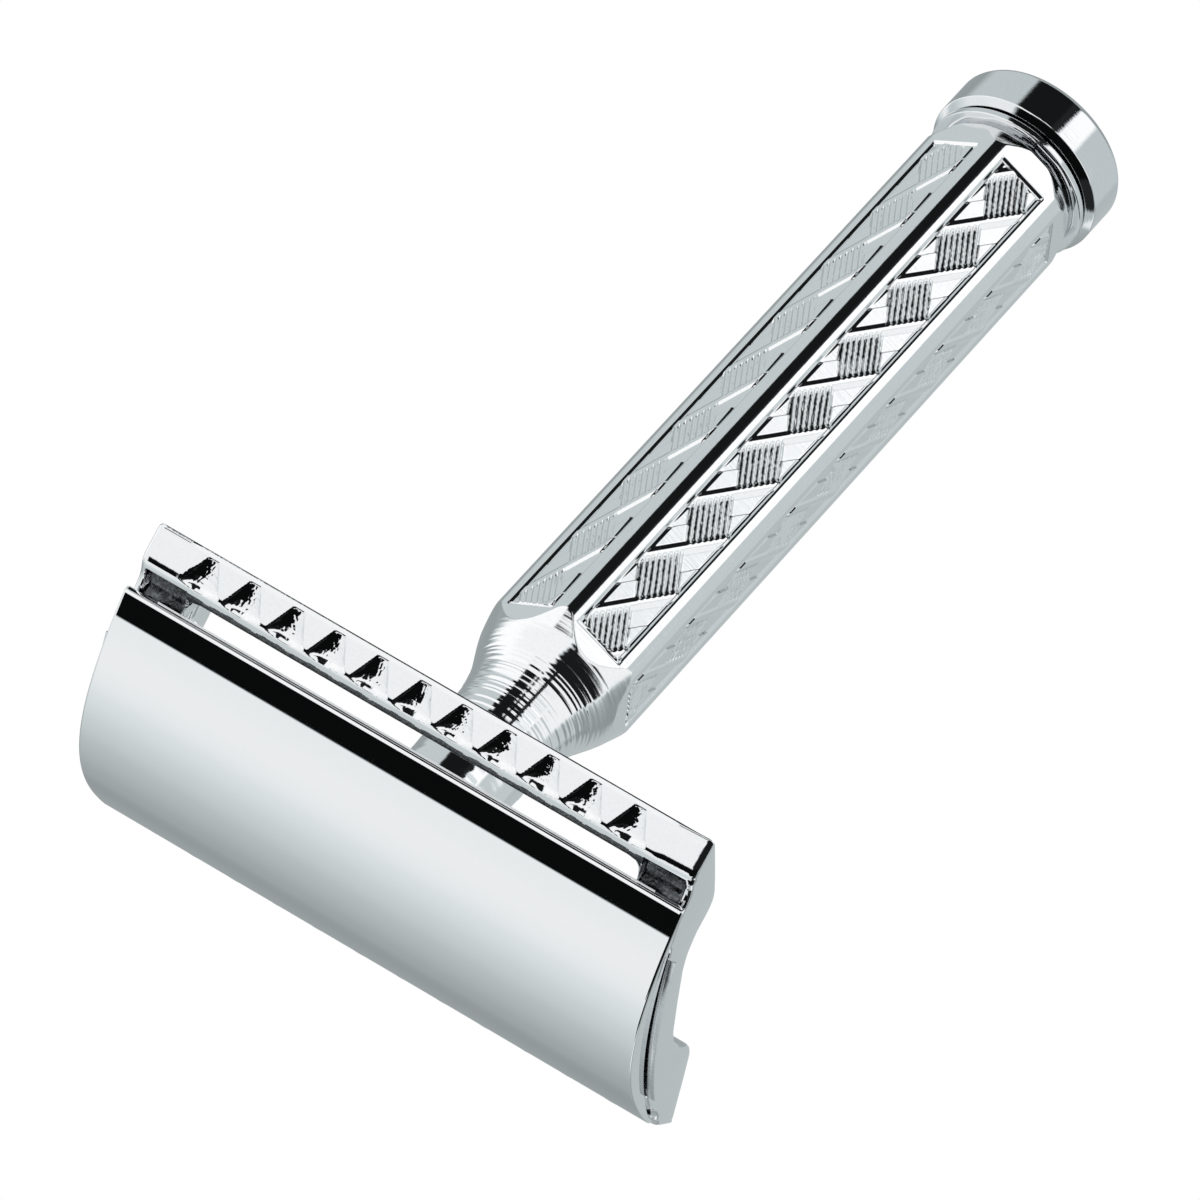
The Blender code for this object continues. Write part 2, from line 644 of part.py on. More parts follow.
CHROME = metal("chrome", color=(0.80, 0.82, 0.83), roughness=0.06)
CHROME_CAST = metal("chrome_cast", color=(0.74, 0.76, 0.77), roughness=0.16)
CHROME_TURNED = metal("chrome_turned", color=(0.76, 0.78, 0.79), roughness=0.12)
STEEL = metal("brushed_steel", color=(0.62, 0.63, 0.64), roughness=0.28)
BLADE_STEEL = metal("blade_steel", color=(0.55, 0.56, 0.57), roughness=0.22)
BRASS = metal("brass", color=(0.72, 0.54, 0.24), roughness=0.30)

build_cap()
build_stud()
build_locating_pins()
build_blade()
build_base()
build_handle()
build_socket()
build_rod()
build_bushings()
build_spring()
build_washer_and_clip()
build_knob()
build_knob_screw()
group_pieces()
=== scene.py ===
"""Looks of a double-edged safety razor, built around its CAD frame.

The handle stands along +Z on the Z axis, with the knob at the bottom and the head on top.
The head's long edges run along X, one at -Y and one at +Y. Lengths are in mm, and
mesh_of turns them into metres with the knob's bottom face at zero.
"""

import math

import bmesh
import bpy
import numpy as np
from mathutils import Matrix, Vector


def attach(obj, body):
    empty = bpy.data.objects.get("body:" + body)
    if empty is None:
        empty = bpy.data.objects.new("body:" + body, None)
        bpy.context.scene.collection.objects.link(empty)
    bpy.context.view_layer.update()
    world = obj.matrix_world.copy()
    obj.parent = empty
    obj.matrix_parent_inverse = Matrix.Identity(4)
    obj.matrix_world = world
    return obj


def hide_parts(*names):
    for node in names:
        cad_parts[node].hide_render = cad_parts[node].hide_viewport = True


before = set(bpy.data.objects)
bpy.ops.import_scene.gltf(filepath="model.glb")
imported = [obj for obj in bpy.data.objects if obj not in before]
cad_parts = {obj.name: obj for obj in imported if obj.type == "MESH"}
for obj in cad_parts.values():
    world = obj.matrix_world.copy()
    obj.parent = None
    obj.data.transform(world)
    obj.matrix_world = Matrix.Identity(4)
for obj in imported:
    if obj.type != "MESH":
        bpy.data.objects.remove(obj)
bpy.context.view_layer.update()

MM = 0.001
KNOB_FACE_Z = 0.68                # the knob's bottom face
HEAD_Z = 77.1                     # the cap's long edges; heights in the head count from here
PIN_X = 13.2                      # locating pins, either side of the stud
PIN_HOLE_R = 1.35                 # their holes in the blade and the base plate
HEAD_CURVE = 52                   # the head's inner faces fall by y * y / HEAD_CURVE


# ------------------------------------------------------------------ shape helpers
def rise(value, start, width):
    """Smooth step from 0 at start to 1 at start + width."""
    t = np.clip((value - start) / width, 0, 1)
    return t * t * (3 - 2 * t)


def fall(value, start, width):
    return 1 - rise(value, start, width)


def soft_min(first, second, width):
    """The lower of two surfaces, blended over width where they cross."""
    h = np.clip(0.5 + 0.5 * (first - second) / width, 0, 1)
    return first * (1 - h) + second * h - width * h * (1 - h)


def lookup(value, table):
    """Straight-line reading of a (position, value) table."""
    return np.interp(value, *zip(*table))


def wobble(x, y, z, freq, seed):
    """Smooth noise in about -1..1 from six summed waves, for castings and wear."""
    draw = np.random.default_rng(seed)
    total = 0
    for _ in range(6):
        wave = draw.normal(size=3)
        wave *= freq / np.linalg.norm(wave) * draw.uniform(0.6, 1.5)
        total = total + np.sin(wave[0] * x + wave[1] * y + wave[2] * z + draw.uniform(0, 6.28))
    return total / 6


def rounded(outline, steps):
    """(radius, z) outline from (radius, z, corner rounding) rows; rounding 0 stays sharp."""
    table = np.array(outline, float)
    points = table[:, :2]
    out = []
    for i, (corner, rounding) in enumerate(zip(points, table[:, 2])):
        if rounding == 0:
            out.append(tuple(corner))
            continue
        before = points[i - 1] - corner
        after = points[(i + 1) % len(points)] - corner
        before_len, after_len = np.linalg.norm(before), np.linalg.norm(after)
        before, after = before / before_len, after / after_len
        half = math.acos(float(before @ after)) / 2
        reach = min(rounding / math.tan(half), 0.48 * before_len, 0.48 * after_len)
        start, end = corner + before * reach, corner + after * reach
        for t in np.linspace(0, 1, steps + 1):
            out.append(tuple((1 - t) ** 2 * start + 2 * t * (1 - t) * corner + t * t * end))
    return out


# ------------------------------------------------------------------ mesh helpers
def mesh_of(name, verts, quads, tris=()):
    """A smooth-shaded mesh from arrays: verts in mm, quads (M, 4), tris (K, 3)."""
    verts = (np.asarray(verts, float).reshape(-1, 3) - [0, 0, KNOB_FACE_Z]) * MM
    quads = np.asarray(quads, np.int64).reshape(-1, 4)
    tris = np.asarray(tris, np.int64).reshape(-1, 3)
    mesh = bpy.data.meshes.new(name)
    mesh.vertices.add(len(verts))
    mesh.vertices.foreach_set("co", verts.astype(np.float32).ravel())
    loops = np.concatenate([quads.ravel(), tris.ravel()])
    mesh.loops.add(len(loops))
    mesh.loops.foreach_set("vertex_index", loops.astype(np.int32))
    count = len(quads) + len(tris)
    mesh.polygons.add(count)
    starts = np.concatenate([np.arange(len(quads)) * 4,
                             len(quads) * 4 + np.arange(len(tris)) * 3])
    mesh.polygons.foreach_set("loop_start", starts.astype(np.int32))
    mesh.update(calc_edges=True)
    mesh.validate()
    mesh.polygons.foreach_set("use_smooth", np.full(count, True))
    mesh.update()
    return mesh


def face_out(mesh):
    bm = bmesh.new()
    bm.from_mesh(mesh)
    bmesh.ops.recalc_face_normals(bm, faces=bm.faces)
    if bm.calc_volume(signed=True) < 0:
        bmesh.ops.reverse_faces(bm, faces=bm.faces)
    bm.to_mesh(mesh)
    bm.free()


def piece(name, mesh, materials, body, replaced, sharp):
    """Place a mesh on a body in place of CAD nodes; edges over sharp degrees shade hard."""
    face_out(mesh)
    mesh.set_sharp_from_angle(angle=math.radians(sharp))
    obj = bpy.data.objects.new(name, mesh)
    bpy.context.scene.collection.objects.link(obj)
    for material in materials:
        mesh.materials.append(material)
    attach(obj, body)
    if replaced:
        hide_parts(*replaced)
    return obj


def tube_quads(rows, cols):
    """Quads over a grid whose columns wrap."""
    i = np.arange(rows - 1)[:, None]
    j = np.arange(cols)[None, :]
    after = (j + 1) % cols
    corners = [i * cols + j, i * cols + after, (i + 1) * cols + after, (i + 1) * cols + j]
    return np.stack(corners, -1).reshape(-1, 4)


def lathe(name, profile, segments, centre_x=0.0):
    """Body turned from a closed (radius, z) outline; a zero radius closes it at the axis."""
    verts, quads, tris, rings = [], [], [], []
    count = 0
    angles = 2 * np.pi * np.arange(segments) / segments
    for radius, z in profile:
        ring = angles[:1] if radius < 1e-6 else angles
        rings.append(count + np.arange(len(ring)))
        verts.append(np.stack([centre_x + radius * np.cos(ring), radius * np.sin(ring),
                               np.full(len(ring), z)], -1))
        count += len(ring)
    for a, b in zip(rings, rings[1:] + rings[:1]):
        if len(a) == 1 and len(b) == 1:
            continue
        if len(a) == 1:
            tris.append(np.stack([np.full(segments, a[0]), b, np.roll(b, -1)], -1))
        elif len(b) == 1:
            tris.append(np.stack([a, np.roll(a, -1), np.full(segments, b[0])], -1))
        else:
            quads.append(np.stack([a, np.roll(a, -1), np.roll(b, -1), b], -1))
    return mesh_of(name, np.concatenate(verts), np.concatenate(quads),
                   np.concatenate(tris) if tris else ())


def double_sheet(name, x, top, low, keep):
    """Two (y, z) sheets on one grid, joined by walls wherever the kept faces end."""
    n, m = x.shape
    verts = np.concatenate([np.stack([x, *sheet], -1).reshape(-1, 3) for sheet in (top, low)])
    i, j = np.nonzero(keep)
    a, b, c, d = i * m + j, (i + 1) * m + j, (i + 1) * m + j + 1, i * m + j + 1
    quads = [np.stack([a, b, c, d], -1), np.stack([a, d, c, b], -1) + n * m]
    padded = np.zeros((n + 1, m + 1), bool)
    padded[1:n, 1:m] = keep
    # step to the neighbouring face, then the two corners of the side shared with it
    sides = (((-1, 0), (0, 0), (0, 1)), ((1, 0), (1, 1), (1, 0)),
             ((0, -1), (1, 0), (0, 0)), ((0, 1), (0, 1), (1, 1)))
    for (di, dj), first, second in sides:
        i, j = np.nonzero(keep & ~padded[1 + di:n + di, 1 + dj:m + dj])
        a = (i + first[0]) * m + j + first[1]
        b = (i + second[0]) * m + j + second[1]
        quads.append(np.stack([a, b, b + n * m, a + n * m], -1))
    quads = np.concatenate(quads)
    used = np.unique(quads)
    renumber = np.zeros(2 * n * m, np.int64)
    renumber[used] = np.arange(len(used))
    return mesh_of(name, verts[used], renumber[quads])


# ------------------------------------------------------------------ materials
def feed(tree, target, inputs):
    """Fill a node's inputs: a socket is linked, any other value is set."""
    for key, value in inputs.items():
        if isinstance(value, bpy.types.NodeSocket):
            tree.links.new(value, target.inputs[key])
        else:
            target.inputs[key].default_value = value


def node(tree, kind, inputs, **settings):
    made = tree.nodes.new("ShaderNode" + kind)
    for key, value in settings.items():
        setattr(made, key, value)
    feed(tree, made, inputs)
    return made


def metal(name, rough, bump, scale, fine, tint, color=(0.86, 0.865, 0.87),
          fine_scale=6000.0, stretch=(1, 1, 1), scratches=0.0):
    """Metal whose colour, polish and relief vary with noise in object space.

    rough: roughness range over the broad noise of the given scale; color and tint: the
    two tones mixed by the fine noise; fine: its share of the relief; bump and scratches:
    relief in mm, the scratches running around Z.
    """
    mat = bpy.data.materials.new(name)
    mat.use_nodes = True
    tree = mat.node_tree
    coord = node(tree, "TexCoord", {}).outputs["Object"]

    def scaled(factors):
        return node(tree, "Mapping", {"Scale": factors, "Vector": coord}).outputs[0]

    def noise(vector, noise_scale, detail):
        return node(tree, "TexNoise", {"Scale": noise_scale, "Detail": detail,
                                       "Vector": vector}).outputs["Fac"]

    vector = scaled(stretch)
    broad = noise(vector, noise_scale=scale, detail=4)
    speck = noise(vector, noise_scale=fine_scale, detail=3)
    polish = node(tree, "MapRange", {"From Min": 0.3, "From Max": 0.7, "To Min": rough[0],
                                     "To Max": rough[1], "Value": broad})
    tone = node(tree, "MapRange", {"From Min": 0.45, "From Max": 0.75, "Value": speck})
    mix = node(tree, "Mix", {"A": (*color, 1), "B": (*tint, 1), "Factor": tone.outputs[0]},
               data_type="RGBA")
    height = node(tree, "Math", {0: speck, 1: fine, 2: broad}, operation="MULTIPLY_ADD")
    normal = node(tree, "Bump", {"Strength": 1.0, "Distance": bump * MM,
                                 "Height": height.outputs[0]}).outputs[0]
    if scratches:
        lines = noise(scaled((60, 60, 14000)), noise_scale=1.0, detail=5)
        normal = node(tree, "Bump", {"Strength": 1.0, "Distance": scratches * MM,
                                     "Height": lines, "Normal": normal}).outputs[0]
    feed(tree, tree.nodes["Principled BSDF"], {
        "Roughness": polish.outputs[0], "Base Color": mix.outputs["Result"],
        "Metallic": 1.0, "Normal": normal})
    return mat


PLATED_TINT = (0.82, 0.835, 0.85)
CAP_CHROME = metal("cap_chrome", rough=(0.008, 0.02), bump=0.0002, scale=300, fine=0.02,
                   tint=(0.852, 0.858, 0.864))
CAST = metal("cast_chrome", rough=(0.02, 0.06), bump=0.006, scale=1100, fine=0.2,
             tint=PLATED_TINT)
GRIP = metal("grip_chrome", rough=(0.03, 0.07), bump=0.004, scale=1100, fine=0.25,
             scratches=0.004, tint=PLATED_TINT)
TURNED = metal("knob_chrome", color=(0.79, 0.80, 0.81), rough=(0.03, 0.07), bump=0.004,
               scale=800, fine=0.2, scratches=0.005, tint=PLATED_TINT)
# near-black chrome that paints the shade in the gap beside each slot and in the end recesses; the
# plating is not this dark
PAINTED_SHADE_CHROME = metal("painted_shade_chrome", color=(0.085, 0.09, 0.095), tint=(0.20, 0.21, 0.215),
               rough=(0.08, 0.3), bump=0.02, scale=1600, fine=0.6, fine_scale=5000)
STEEL = metal("hardware_steel", color=(0.62, 0.63, 0.65), tint=(0.5, 0.51, 0.53),
              rough=(0.2, 0.34), bump=0.01, scale=1500, fine=0.5, scratches=0.01)
BLADE_STEEL = metal("blade_steel", color=(0.80, 0.81, 0.82), tint=(0.70, 0.71, 0.72),
                    rough=(0.10, 0.2), bump=0.002, scale=700, fine=0.3,
                    stretch=(0.05, 1, 1))
BRASS = metal("socket_brass", color=(0.83, 0.63, 0.30), tint=(0.66, 0.46, 0.19),
              rough=(0.18, 0.32), bump=0.01, scale=1200, fine=0.5, scratches=0.012)


# ------------------------------------------------------------------ cap
CAP_HALF_X, CAP_HALF_Y = 21.0, 10.65
CAP_CROWN = 3.8                   # top of the cap above its long edges
CAP_END_R = 0.16                  # rounding of the two ends
CAP_INNER_Z = 2.0                 # middle of the hollow underside
# the +Y edge, from the top around to the underside: (inset from the edge, z)
CAP_EDGE = [(0.20, 0.105), (0.09, 0.02), (0.02, -0.09), (0, -0.20), (0, -0.42),
            (0.05, -0.50), (0.13, -0.54)]


def cap_top(y):
    s = (y / CAP_HALF_Y) ** 2
    return CAP_CROWN * (1 - 1.12 * s + 0.12 * s * s)


def cap_section():
    """(y, z) outline: over the top to +Y, around that edge and back underneath."""
    top_y, under_y = CAP_HALF_Y - 0.36, CAP_HALF_Y - 0.3
    top = [(y, cap_top(y) - 0.02) for y in np.linspace(-top_y, top_y, 121)]
    plus_edge = [(CAP_HALF_Y - inset, z) for inset, z in CAP_EDGE]
    under = [(y, min(CAP_INNER_Z - y * y / HEAD_CURVE, cap_top(y) - 0.42))
             for y in np.linspace(under_y, -under_y, 61)]
    minus_edge = [(-y, z) for y, z in plus_edge[::-1]]
    return np.array([(y, HEAD_Z + z) for y, z in top + plus_edge + under + minus_edge])


def cap_stations():
    """(x, inset of the section) along the cap, with both ends rounded."""
    straight = CAP_HALF_X - CAP_END_R
    near_end = straight - 0.004
    end = [(straight + CAP_END_R * math.sin(t), CAP_END_R - CAP_END_R * math.cos(t))
           for t in np.linspace(0, math.pi / 2, 4)[1:]]
    middle = np.concatenate([np.linspace(-straight, straight, 30), [-near_end, near_end]])
    return [(-x, inset) for x, inset in end[::-1]] + [(x, 0.0) for x in sorted(middle)] + end


def cap_mesh():
    section, stations = cap_section(), cap_stations()
    count = len(section)
    arriving = section - np.roll(section, 1, 0)
    leaving = np.roll(section, -1, 0) - section
    arriving /= np.linalg.norm(arriving, axis=1)[:, None] + 1e-12
    leaving /= np.linalg.norm(leaving, axis=1)[:, None] + 1e-12
    along = arriving + leaving
    inward = np.stack([along[:, 1], -along[:, 0]], -1)
    inward /= np.linalg.norm(inward, axis=1)[:, None] + 1e-12
    rows = [np.concatenate([np.full((count, 1), x), section + inward * inset], 1)
            for x, inset in stations]
    mesh = mesh_of("cap", np.concatenate(rows), tube_quads(len(stations), count))
    bm = bmesh.new()
    bm.from_mesh(mesh)
    bm.verts.ensure_lookup_table()
    ends = [bm.faces.new([bm.verts[first + i] for i in range(count)])
            for first in (0, (len(stations) - 1) * count)]
    bmesh.ops.triangulate(bm, faces=ends)
    for face in bm.faces:
        face.smooth = True
    bm.to_mesh(mesh)
    bm.free()
    return mesh


piece("cap", cap_mesh(), [CAP_CHROME], "cap", ["cap_plate"], sharp=35)


# ------------------------------------------------------------------ stud and pins under the cap
STUD_TOP, STUD_TIP = HEAD_Z + 2.4, 69.4
THREAD_TOP = HEAD_Z - 1.0
THREAD_R, THREAD_DEPTH, THREAD_PITCH = 2.0, 0.36, 0.7
STUD_NECK_R = 1.62                # plain part above the thread
PIN_TOP, PIN_TIP, PIN_R = HEAD_Z + 2.0, HEAD_Z - 0.75, 1.0


def stud_mesh(rows=330, segments=96):
    z = np.linspace(STUD_TOP, STUD_TIP, rows)
    turns = 2 * np.pi * np.arange(segments) / segments
    height, turn = np.meshgrid(z, turns, indexing="ij")
    phase = (height / THREAD_PITCH - turn / (2 * np.pi)) % 1.0
    ridge = rise(1 - np.abs(2 * phase - 1), 0.12, 0.76)
    fade = np.clip(np.minimum((THREAD_TOP - height) / 0.6, (height - STUD_TIP - 0.15) / 0.6),
                   0, 1)
    core = THREAD_R - THREAD_DEPTH
    radius = np.where(height > THREAD_TOP, STUD_NECK_R, core + THREAD_DEPTH * ridge * fade)
    taper = core - 0.25 + (height - STUD_TIP) * 0.6
    radius = np.where(height < STUD_TIP + 0.5, np.minimum(radius, taper), radius)
    verts = np.stack([radius * np.cos(turn), radius * np.sin(turn), height], -1).reshape(-1, 3)
    top_centre, tip_centre = len(verts), len(verts) + 1
    verts = np.concatenate([verts, [[0, 0, z[0]], [0, 0, z[-1]]]])
    j = np.arange(segments)
    after = (j + 1) % segments
    last = (rows - 1) * segments
    tris = np.concatenate([
        np.stack([np.full(segments, top_centre), after, j], -1),
        np.stack([np.full(segments, tip_centre), last + j, last + after], -1)])
    return mesh_of("stud", verts, tube_quads(rows, segments), tris)


piece("stud", stud_mesh(), [STEEL], "cap", ["cap_stud"], sharp=50)

# (radius, z, corner rounding)
PIN_PROFILE = [(0, PIN_TOP, 0), (PIN_R, PIN_TOP, 0), (PIN_R, PIN_TIP, 0.35), (0, PIN_TIP, 0)]
for side, x in (("left", -PIN_X), ("right", PIN_X)):
    mesh = lathe("pin", rounded(PIN_PROFILE, steps=6), 48, centre_x=x)
    piece(f"pin_{side}", mesh, [TURNED], "cap", [f"locating_pin_{side}"],
          sharp=35)


# ------------------------------------------------------------------ blade
BLADE_HALF_X, BLADE_HALF_Y = 21.5, 11.0   # the second is measured along the bend
BLADE_BEND_R = 28.0
BLADE_MID_Z = 1.65                # middle of the bent blade
BLADE_HALF_THICK = 0.05
BLADE_HOLE_R = 2.7
TAB_X, TAB_HALF_Y = 18.7, 6.9     # beyond TAB_X the blade is only a narrow tab


def blade_slot_half(x):
    """Half-width of the slot and its three round holes at x."""
    width = np.where(np.abs(x) <= PIN_X, 1.0, 0.0)
    for centre, r in ((0, BLADE_HOLE_R), (PIN_X, PIN_HOLE_R), (-PIN_X, PIN_HOLE_R)):
        width = np.maximum(width, np.sqrt(np.maximum(0, r * r - (x - centre) ** 2)))
    return width


def blade_mesh():
    xs = np.unique(np.concatenate([np.linspace(-BLADE_HALF_X, BLADE_HALF_X, 216),
                                   [-TAB_X, TAB_X]]))
    arcs = np.concatenate([np.linspace(-10.99, -10.0, 12), np.linspace(-9.8, 9.8, 99),
                           np.linspace(10.0, 10.99, 12)])
    x, arc = np.meshgrid(xs, arcs, indexing="ij")

    def bent(offset):
        radius, angle = BLADE_BEND_R + offset, arc / BLADE_BEND_R
        z = HEAD_Z + BLADE_MID_Z + radius * np.cos(angle) - BLADE_BEND_R
        return radius * np.sin(angle), z

    thick = BLADE_HALF_THICK * np.clip(0.12 + (BLADE_HALF_Y - np.abs(arc)) / 0.8, 0, 1)
    face_x = np.abs(x[:-1, :-1] + x[1:, 1:]) / 2
    face_arc = np.abs(arc[:-1, :-1] + arc[1:, 1:]) / 2
    in_slot = face_arc < blade_slot_half(face_x)
    beside_tab = (face_x > TAB_X) & (face_arc > TAB_HALF_Y)
    return double_sheet("blade", x, bent(thick), bent(-thick), ~(in_slot | beside_tab))


piece("blade_strip", blade_mesh(), [BLADE_STEEL], "blade", ["blade"], sharp=30)


# ------------------------------------------------------------------ base plate
BASE_HALF_X, BASE_HALF_Y = 20.8, 14.25
BASE_HOLE_R = 2.9
SLOT_X, SLOT_IN, SLOT_OUT, SLOT_R = 17.1, 8.6, 11.35, 1.15   # long slots: x end, y span, corner
BASE_MID_Z = 1.3                  # middle of the bed's top
# long bars' upper and lower outlines: (distance from the middle in y, z)
BAR_TOP = [(10.2, -0.70), (10.75, -1.06), (11.35, -1.25), (12.0, -1.26), (12.4, -1.30),
           (12.62, -1.38), (12.75, -1.48), (12.98, -1.72), (13.95, -2.82), (14.16, -3.06),
           (14.25, -3.26)]
BASE_LOW = [(0, -1.9), (3.2, -1.95), (4.5, -2.22), (5.8, -2.95), (6.95, -4.22), (7.7, -4.62),
            (8.3, -4.62), (10.2, -4.33), (12.75, -3.87), (13.6, -3.72), (14.14, -3.44),
            (14.25, -3.3)]
SLANT_Y, SLANT_Z, SLANT_SLOPE = 12.75, -1.48, -1.13   # top of the bars' slanted faces
FLUTE_PITCH, FLUTE_SHIFT = 3.2, 0.42
FLUTE_FOOT_Y, FLUTE_FOOT_Z = 14.18, -3.08             # foot of the slanted faces
FLUTE_DY, FLUTE_DZ = -0.664, 0.747                    # direction up a slanted face
NO_CUT = 1e3                      # height that stands for no groove


def base_top_section(y):
    y = np.abs(y)
    return np.where(y < 10.2, BASE_MID_Z - y * y / HEAD_CURVE, lookup(y, BAR_TOP))


def base_low_section(y):
    return lookup(np.abs(y), BASE_LOW)


def softened(section, y, width):
    """A section averaged over y - width to y + width, weighted to the middle."""
    t = np.linspace(-1, 1, 9)
    weights = 1 - np.abs(t) * 0.8
    return sum(section(y + width * s) * w for s, w in zip(t, weights)) / weights.sum()


def slot_dist(x, y):
    """Distance outside the long slots' outline (negative inside)."""
    dx = np.abs(x) - (SLOT_X - SLOT_R)
    dy = np.abs(np.abs(y) - (SLOT_IN + SLOT_OUT) / 2) - ((SLOT_OUT - SLOT_IN) / 2 - SLOT_R)
    outside = np.hypot(np.maximum(dx, 0), np.maximum(dy, 0))
    return outside + np.minimum(np.maximum(dx, dy), 0) - SLOT_R


def hole_dist(x, y):
    """Distance outside every opening through the base plate."""
    nearest = slot_dist(x, y)
    for centre, radius in ((0, BASE_HOLE_R), (PIN_X, PIN_HOLE_R), (-PIN_X, PIN_HOLE_R)):
        nearest = np.minimum(nearest, np.hypot(x - centre, y) - radius)
    return nearest


def edge_drop(distance, radius):
    """How far a rounded edge has dropped at a distance in from it."""
    distance = np.clip(distance, 0, radius)
    return radius - np.sqrt(np.maximum(0, radius * radius - (radius - distance) ** 2))


def flutes(x, y, face):
    """Surface of the cone-shaped grooves cut in the slanted faces, NO_CUT beside them."""
    out = np.full(x.shape, NO_CUT)
    side = np.where(y < 0, 0.0, 3.7)    # gives the two faces different noise
    up = (np.abs(y) - FLUTE_FOOT_Y) * FLUTE_DY + (face - FLUTE_FOOT_Z) * FLUTE_DZ
    up = np.clip(up, 0, 6) - 0.22
    length = np.clip(up, 0, 6)
    half = 0.42 + 0.50 * length
    start = rise(up, -0.02, 0.14)
    for i in range(-5, 6):
        dx = x - i * FLUTE_PITCH - FLUTE_SHIFT + 0.05 * math.sin(i * 2.3 + 1)
        form = np.clip(1 - (dx / half) ** 2, 0, 1) ** 0.7
        rough = (0.020 * wobble(x, y + side, y * 0.7, 13.0, 40 + i)
                 + 0.016 * wobble(x * 1.7, y * 1.3 + side, y, 26.0, 60 + i))
        depth = np.minimum(0.07 + 0.18 * length, 0.37) * form * start
        depth = depth + rough * form ** 0.5 * start
        ragged = 0.16 * (dx / half) ** 2 + 0.05 * wobble(x, y * 0.2 + side, 0, 2.0, 80 + i)
        depth = depth * rise(np.abs(y), 12.42 + ragged, 0.20)
        inside = (np.abs(dx) < half) & (up > -0.05)
        out = np.minimum(out, np.where(inside, face - depth / 0.66, NO_CUT))
    return out


def base_grid():
    """x and y of the grid lines, closer together near edges."""
    right = np.concatenate([
        SLOT_X + np.array([0.0, 0.02, 0.06, 0.12, 0.2]),
        np.linspace(SLOT_X + 0.3, BASE_HALF_X - 0.7, 18),
        BASE_HALF_X - np.array([0.55, 0.42, 0.3, 0.2, 0.12, 0.06, 0.02, 0.0])])
    xs = np.concatenate([-right[::-1], np.linspace(-SLOT_X + 0.08, SLOT_X - 0.08, 620), right])
    half = np.concatenate([
        np.linspace(0.0, 8.3, 22)[1:], SLOT_IN - np.array([0.2, 0.1, 0.04]),
        np.linspace(SLOT_IN, SLOT_OUT, 7), SLOT_OUT + np.array([0.03, 0.07, 0.12, 0.18, 0.24]),
        np.linspace(11.66, 13.95, 48), [14.0, 14.05, 14.1, 14.14, 14.18, 14.21, 14.235, 14.25]])
    ys = np.concatenate([-half[::-1], [0.0], half])
    return np.meshgrid(xs, ys, indexing="ij")


def drawn_to_holes(x, y, keep):
    """Move the grid points on the holes' rims onto the true outlines."""
    count = np.zeros(x.shape)
    for a in (slice(0, -1), slice(1, None)):
        for b in (slice(0, -1), slice(1, None)):
            count[a, b] += keep
    rim = np.zeros(x.shape, bool)
    rim[1:-1, 1:-1] = ((count > 0) & (count < 4))[1:-1, 1:-1]
    step = 1e-4
    for _ in range(3):
        distance = hole_dist(x, y)
        slope_x = (hole_dist(x + step, y) - hole_dist(x - step, y)) / (2 * step)
        slope_y = (hole_dist(x, y + step) - hole_dist(x, y - step)) / (2 * step)
        slope = np.maximum(1e-3, np.hypot(slope_x, slope_y))
        x = np.where(rim, x - distance * slope_x / slope, x)
        y = np.where(rim, y - distance * slope_y / slope, y)
    return x, y


def corners_rounded(x, y, round_x=0.45, round_y=0.35):
    """Pull the plan's four corners in onto an ellipse."""
    start_x, start_y = BASE_HALF_X - round_x, BASE_HALF_Y - round_y
    over_x = np.maximum(np.abs(x) - start_x, 0) / round_x
    over_y = np.maximum(np.abs(y) - start_y, 0) / round_y
    pull = np.maximum(over_x, over_y) / np.maximum(np.hypot(over_x, over_y), 1e-6)
    pull = np.where((over_x > 0) & (over_y > 0), pull, 1.0)
    x = np.where(pull < 1, np.sign(x) * (start_x + (np.abs(x) - start_x) * pull), x)
    y = np.where(pull < 1, np.sign(y) * (start_y + (np.abs(y) - start_y) * pull), y)
    return x, y


def base_top(x, y):
    out_x, out_y = np.abs(x), np.abs(y)
    far = rise(out_x, 17.6, 0.7)
    z = (softened(base_top_section, y, 0.07) * (1 - far)
         + softened(base_top_section, y, 0.30) * far)
    # the bars sink slightly towards the -X end
    z = z - 0.05 * np.maximum(0, -x - 17.6) * rise(out_y, 11.8, 0.4)
    face = np.where(out_y > 9, SLANT_Z + (out_y - SLANT_Y) * SLANT_SLOPE, 3.0)
    cut = np.where(out_y > 11.5, flutes(x, y, face), NO_CUT)
    z = np.where(cut < 100, soft_min(cut, z, 0.05), z)
    # short raised rails near the ends' corners
    z = z + 0.34 * (rise(out_x, 18.75, 0.12) * rise(out_y, 7.25, 0.12) * fall(out_y, 9.6, 0.5))
    # dish in the middle of each end
    z = z - 0.45 * rise(out_x, 19.1, 0.5) * fall(out_y, 4.2, 0.8)
    # rough recess beyond each end of the slots
    recess = (rise(out_x, SLOT_X + 0.02, 0.16) * fall(out_x, 20.1, 0.2)
              * rise(out_y, 9.9, 0.5) * fall(out_y, 11.86, 0.2))
    z = z - (0.50 + 0.03 * wobble(x, y, 0, 9.0, 8)) * recess
    z = z - edge_drop(np.maximum(hole_dist(x, y), 0), 0.20)
    return z - edge_drop(BASE_HALF_X - out_x, 0.42)


def base_low(x, y, top):
    pocket = fall(np.abs(x), SLOT_X - 0.10, 0.12) * fall(np.abs(y), SLOT_OUT - 0.05, 0.05)
    z = softened(base_low_section, y, 0.12) * (1 - pocket) - 1.9 * pocket
    z = z + edge_drop(BASE_HALF_X - np.abs(x), 0.35)
    return np.minimum(z, top - 0.08)


